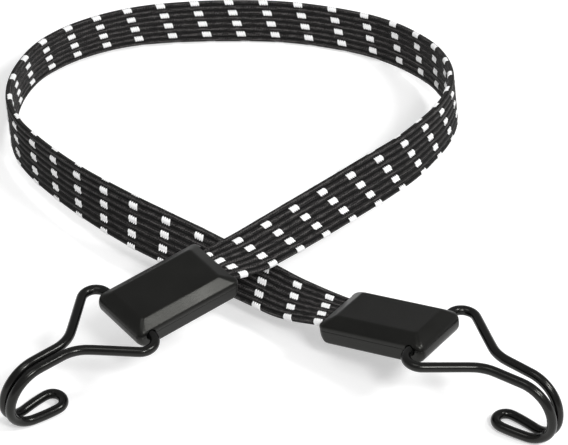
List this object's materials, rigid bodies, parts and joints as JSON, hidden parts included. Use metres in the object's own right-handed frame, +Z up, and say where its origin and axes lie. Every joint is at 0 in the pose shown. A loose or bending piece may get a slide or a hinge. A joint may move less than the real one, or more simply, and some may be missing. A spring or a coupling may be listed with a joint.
{
  "type": "bungee cord",
  "caption": "Flat elastic tie-down strap with a moulded housing and a folding double-wire hook at each end, lying in a loop.",
  "frame": {"origin": "on the floor, in the middle of the box round the two hooked ends, without the strap", "axes": "+Z up; +X from the left hooked end to the right one; +Y from the hooks towards the back of the strap's loop"},
  "size_m": [0.2022, 0.2459, 0.0352],
  "materials": {
    "woven_cover": "tight ribbed black weave with rows of white dashes",
    "rubber_core": "natural latex rubber",
    "housing": "satin black moulding",
    "clamp": "zinc plated sheet",
    "hook_wire": "glossy black vinyl coating"
  },
  "bodies": {
    "cord_body": {"strap_jacket": "woven_cover", "rubber_core_1": "rubber_core", "rubber_core_2": "rubber_core", "rubber_core_3": "rubber_core", "rubber_core_4": "rubber_core", "rubber_core_5": "rubber_core", "rubber_core_6": "rubber_core", "rubber_core_7": "rubber_core", "rubber_core_8": "rubber_core", "left_upper_shell": "housing", "left_lower_shell": "housing", "left_end_clamp": "clamp", "right_upper_shell": "housing", "right_lower_shell": "housing", "right_end_clamp": "clamp"},
    "left_hook_body": {"left_hook": "hook_wire"},
    "right_hook_body": {"right_hook": "hook_wire"}
  },
  "joints": [
    {"name": "left_hook_pivot", "type": "hinge", "parent": "cord_body", "child": "left_hook_body", "pos_m": [-0.0526, 0.0019, 0.02637], "axis": [-0.6318, 0.7727, 0.0609], "range_deg": [-110, 109]},
    {"name": "right_hook_pivot", "type": "hinge", "parent": "cord_body", "child": "right_hook_body", "pos_m": [0.0502, -0.0027, 0.02455], "axis": [-0.5578, -0.8286, 0.0475], "range_deg": [-95, 124]}
  ]
}
